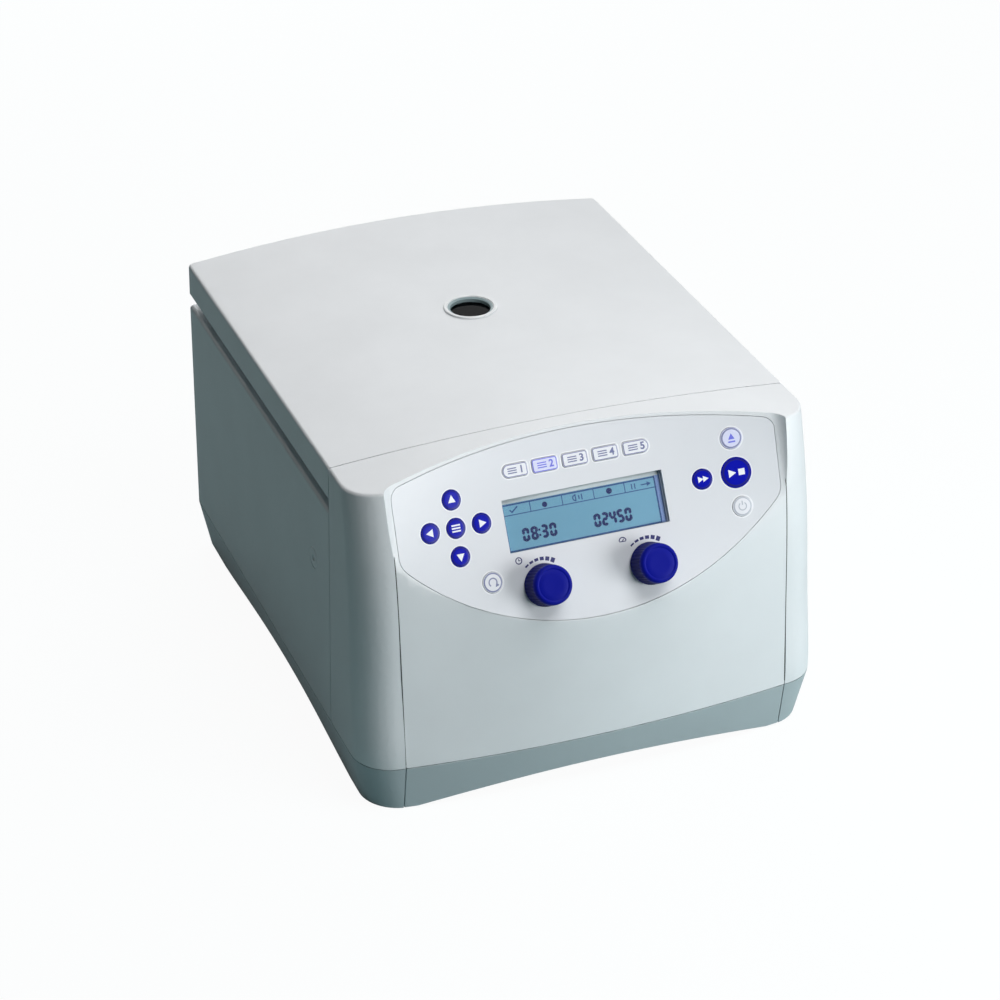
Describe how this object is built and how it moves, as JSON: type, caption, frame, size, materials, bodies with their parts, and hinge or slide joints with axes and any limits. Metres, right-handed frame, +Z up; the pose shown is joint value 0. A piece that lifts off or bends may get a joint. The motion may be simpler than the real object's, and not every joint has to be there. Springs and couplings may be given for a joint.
{
  "type": "microplate centrifuge",
  "caption": "Benchtop microplate centrifuge with a hinged lid and sight glass, swing-out plate rotor, sloping key panel with display and turning knobs, on a flared grey base.",
  "frame": {"origin": "under the middle of the machine, on the surface it stands on", "axes": "+Z up, front and key panel towards -Y, lid hinge along X at the rear"},
  "size_m": [0.33, 0.4198, 0.2385],
  "materials": {
    "pale_housing": "fine-textured pale grey-white moulding",
    "grey_base": "fine-textured mid-grey moulding",
    "rubber": "matt",
    "galvanised_steel": "zinc plated",
    "panel_film": "satin printed film",
    "display_glass": "polished clear window",
    "display_body": "pale blue liquid-crystal face",
    "circuit_board": "green solder mask",
    "encoder_metal": "pressed shell",
    "polished_steel": "ground",
    "chamber_steel": "brushed stainless",
    "lid_plate": "powder coated",
    "armour_steel": "primed rolled steel",
    "motor_casting": "as cast",
    "motor_iron": "varnished laminations",
    "black_plastic": "fine texture",
    "window_bezel": "smooth moulding",
    "window_glass": "clear",
    "rotor_alloy": "anodised",
    "carrier_alloy": "anodised sheet",
    "knob_blue": "satin dark blue",
    "key_blue": "domed glossy film, deep blue",
    "key_tint": "domed glossy film, pale violet-blue",
    "key_white": "domed glossy film, white"
  },
  "bodies": {
    "housing": {"base_tray": "grey_base", "base_front_skirt": "grey_base", "rubber_feet": "rubber", "chassis_plate": "galvanised_steel", "rear_housing": "pale_housing", "front_housing": "pale_housing", "front_cover": "pale_housing", "panel_fascia": "panel_film", "display_window": "display_glass", "display_module": "display_body", "control_board": "circuit_board", "encoders": "encoder_metal", "release_plug": "pale_housing", "hinge_brackets": "galvanised_steel", "hinge_pins": "polished_steel", "chamber_bowl": "chamber_steel", "armour_ring": "armour_steel", "motor_housing": "motor_casting", "motor_stator": "motor_iron", "motor_bearings": "polished_steel", "motor_dampers": "rubber", "power_board": "circuit_board", "fan_frame": "black_plastic", "power_inlet": "black_plastic", "latch_motor": "black_plastic", "housing_screws": "polished_steel"},
    "lid": {"lid_shell": "pale_housing", "lid_liner": "lid_plate", "lid_window_ring": "window_bezel", "lid_window": "window_glass", "lid_gasket": "rubber", "lid_strikers": "galvanised_steel", "hinge_arms": "galvanised_steel"},
    "rotor": {"motor_shaft": "polished_steel", "rotor_yoke": "rotor_alloy", "carrier_pins": "polished_steel", "rotor_nut": "polished_steel"},
    "carrier_left": {"carrier_left": "carrier_alloy"},
    "carrier_right": {"carrier_right": "carrier_alloy"},
    "latch_bar": {"latch_bar": "galvanised_steel"},
    "fan_impeller": {"fan_impeller": "black_plastic"},
    "switch_rocker": {"switch_rocker": "black_plastic"},
    "knob_time": {"knob_time": "knob_blue"},
    "knob_speed": {"knob_speed": "knob_blue"},
    "key_up": {"key_up": "key_blue"},
    "key_left": {"key_left": "key_blue"},
    "key_menu": {"key_menu": "key_blue"},
    "key_right": {"key_right": "key_blue"},
    "key_down": {"key_down": "key_blue"},
    "key_rotor": {"key_rotor": "key_white"},
    "key_open": {"key_open": "key_tint"},
    "key_start": {"key_start": "key_blue"},
    "key_short": {"key_short": "key_blue"},
    "key_power": {"key_power": "key_white"},
    "key_program_1": {"key_program_1": "key_white"},
    "key_program_2": {"key_program_2": "key_tint"},
    "key_program_3": {"key_program_3": "key_white"},
    "key_program_4": {"key_program_4": "key_white"},
    "key_program_5": {"key_program_5": "key_white"}
  },
  "joints": [
    {"name": "lid_hinge", "type": "hinge", "parent": "housing", "child": "lid", "pos_m": [0, 0.206, 0.199], "axis": [-1, 0, 0], "range_deg": [0, 70]},
    {"name": "rotor_spin", "type": "hinge", "parent": "housing", "child": "rotor", "pos_m": [0, 0.048, 0.1], "axis": [0, 0, 1], "continuous": true},
    {"name": "carrier_left_swing", "type": "hinge", "parent": "rotor", "child": "carrier_left", "pos_m": [-0.0575, 0.048, 0.14], "axis": [0, 1, 0], "range_deg": [0, 90]},
    {"name": "carrier_right_swing", "type": "hinge", "parent": "rotor", "child": "carrier_right", "pos_m": [0.0575, 0.048, 0.14], "axis": [0, -1, 0], "range_deg": [0, 90]},
    {"name": "latch_turn", "type": "hinge", "parent": "housing", "child": "latch_bar", "pos_m": [0, -0.11, 0.176], "axis": [-1, 0, 0], "range_deg": [0, 28]},
    {"name": "fan_spin", "type": "hinge", "parent": "housing", "child": "fan_impeller", "pos_m": [-0.108, 0.185, 0.11], "axis": [0, 1, 0], "continuous": true},
    {"name": "mains_switch", "type": "hinge", "parent": "housing", "child": "switch_rocker", "pos_m": [0.066, 0.194, 0.058], "axis": [-1, 0, 0], "range_deg": [0, 16]},
    {"name": "knob_time_turn", "type": "hinge", "parent": "housing", "child": "knob_time", "pos_m": [-0.0375, -0.1855, 0.15133], "axis": [0, -0.8691, 0.4947], "continuous": true},
    {"name": "knob_speed_turn", "type": "hinge", "parent": "housing", "child": "knob_speed", "pos_m": [0.0365, -0.1855, 0.15133], "axis": [0, -0.8691, 0.4947], "continuous": true},
    {"name": "key_up_press", "type": "slide", "parent": "housing", "child": "key_up", "axis": [0, 0.8691, -0.4947], "range_m": [0, 0.0006], "stiffness_N_per_m": 1000, "springref_m": -0.0006},
    {"name": "key_left_press", "type": "slide", "parent": "housing", "child": "key_left", "axis": [0, 0.8691, -0.4947], "range_m": [0, 0.0006], "stiffness_N_per_m": 1000, "springref_m": -0.0006},
    {"name": "key_menu_press", "type": "slide", "parent": "housing", "child": "key_menu", "axis": [0, 0.8691, -0.4947], "range_m": [0, 0.0006], "stiffness_N_per_m": 1000, "springref_m": -0.0006},
    {"name": "key_right_press", "type": "slide", "parent": "housing", "child": "key_right", "axis": [0, 0.8691, -0.4947], "range_m": [0, 0.0006], "stiffness_N_per_m": 1000, "springref_m": -0.0006},
    {"name": "key_down_press", "type": "slide", "parent": "housing", "child": "key_down", "axis": [0, 0.8691, -0.4947], "range_m": [0, 0.0006], "stiffness_N_per_m": 1000, "springref_m": -0.0006},
    {"name": "key_rotor_press", "type": "slide", "parent": "housing", "child": "key_rotor", "axis": [0, 0.8691, -0.4947], "range_m": [0, 0.0006], "stiffness_N_per_m": 1000, "springref_m": -0.0006},
    {"name": "key_open_press", "type": "slide", "parent": "housing", "child": "key_open", "axis": [0, 0.8691, -0.4947], "range_m": [0, 0.0006], "stiffness_N_per_m": 1000, "springref_m": -0.0006},
    {"name": "key_start_press", "type": "slide", "parent": "housing", "child": "key_start", "axis": [0, 0.8691, -0.4947], "range_m": [0, 0.0006], "stiffness_N_per_m": 1000, "springref_m": -0.0006},
    {"name": "key_short_press", "type": "slide", "parent": "housing", "child": "key_short", "axis": [0, 0.8691, -0.4947], "range_m": [0, 0.0006], "stiffness_N_per_m": 1000, "springref_m": -0.0006},
    {"name": "key_power_press", "type": "slide", "parent": "housing", "child": "key_power", "axis": [0, 0.8691, -0.4947], "range_m": [0, 0.0006], "stiffness_N_per_m": 1000, "springref_m": -0.0006},
    {"name": "key_program_1_press", "type": "slide", "parent": "housing", "child": "key_program_1", "axis": [0, 0.8691, -0.4947], "range_m": [0, 0.0006], "stiffness_N_per_m": 1000, "springref_m": -0.0006},
    {"name": "key_program_2_press", "type": "slide", "parent": "housing", "child": "key_program_2", "axis": [0, 0.8691, -0.4947], "range_m": [0, 0.0006], "stiffness_N_per_m": 1000, "springref_m": -0.0006},
    {"name": "key_program_3_press", "type": "slide", "parent": "housing", "child": "key_program_3", "axis": [0, 0.8691, -0.4947], "range_m": [0, 0.0006], "stiffness_N_per_m": 1000, "springref_m": -0.0006},
    {"name": "key_program_4_press", "type": "slide", "parent": "housing", "child": "key_program_4", "axis": [0, 0.8691, -0.4947], "range_m": [0, 0.0006], "stiffness_N_per_m": 1000, "springref_m": -0.0006},
    {"name": "key_program_5_press", "type": "slide", "parent": "housing", "child": "key_program_5", "axis": [0, 0.8691, -0.4947], "range_m": [0, 0.0006], "stiffness_N_per_m": 1000, "springref_m": -0.0006}
  ]
}
